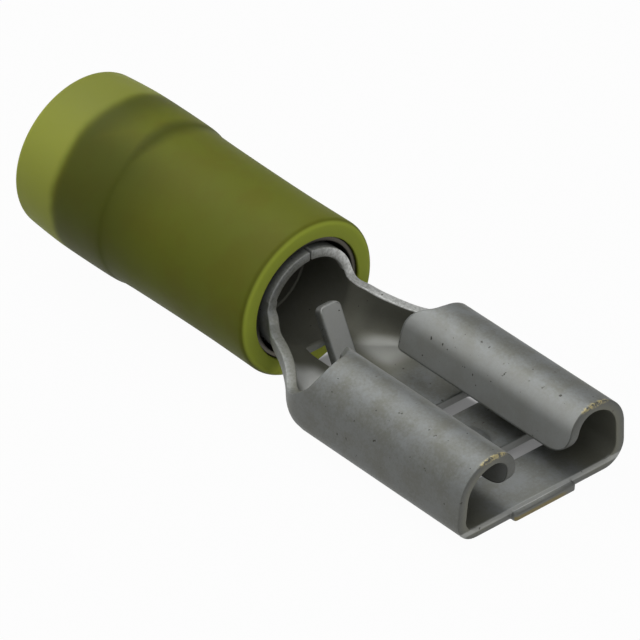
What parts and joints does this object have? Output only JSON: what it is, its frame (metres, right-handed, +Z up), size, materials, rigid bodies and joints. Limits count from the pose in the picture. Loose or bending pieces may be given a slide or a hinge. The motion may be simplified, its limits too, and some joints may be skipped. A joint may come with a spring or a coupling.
{
  "type": "female spade terminal",
  "caption": "Insulated female spade terminal: rolled receptacle for a flat tab, wire stop and crimp barrel in a soft insulating tube.",
  "frame": {"origin": "on the surface that the terminal lies on, below the centre of its bounding box", "axes": "+X towards the mouth that takes the tab, +Z up, +Y across; the terminal's own axis dips by about 5 degrees towards the mouth, because it rests on the receptacle and the front edge of the tube"},
  "size_m": [0.024, 0.0076, 0.007],
  "materials": {
    "tinned_sheet": "matt tin plating over brass, bare brass where it was cut from the strip",
    "sleeve_metal": "dull plated copper alloy",
    "insulation": "translucent yellow-green nylon, satin"
  },
  "bodies": {
    "root": {"terminal_body": "tinned_sheet", "grip_sleeve": "sleeve_metal", "insulator": "insulation"}
  },
  "joints": []
}
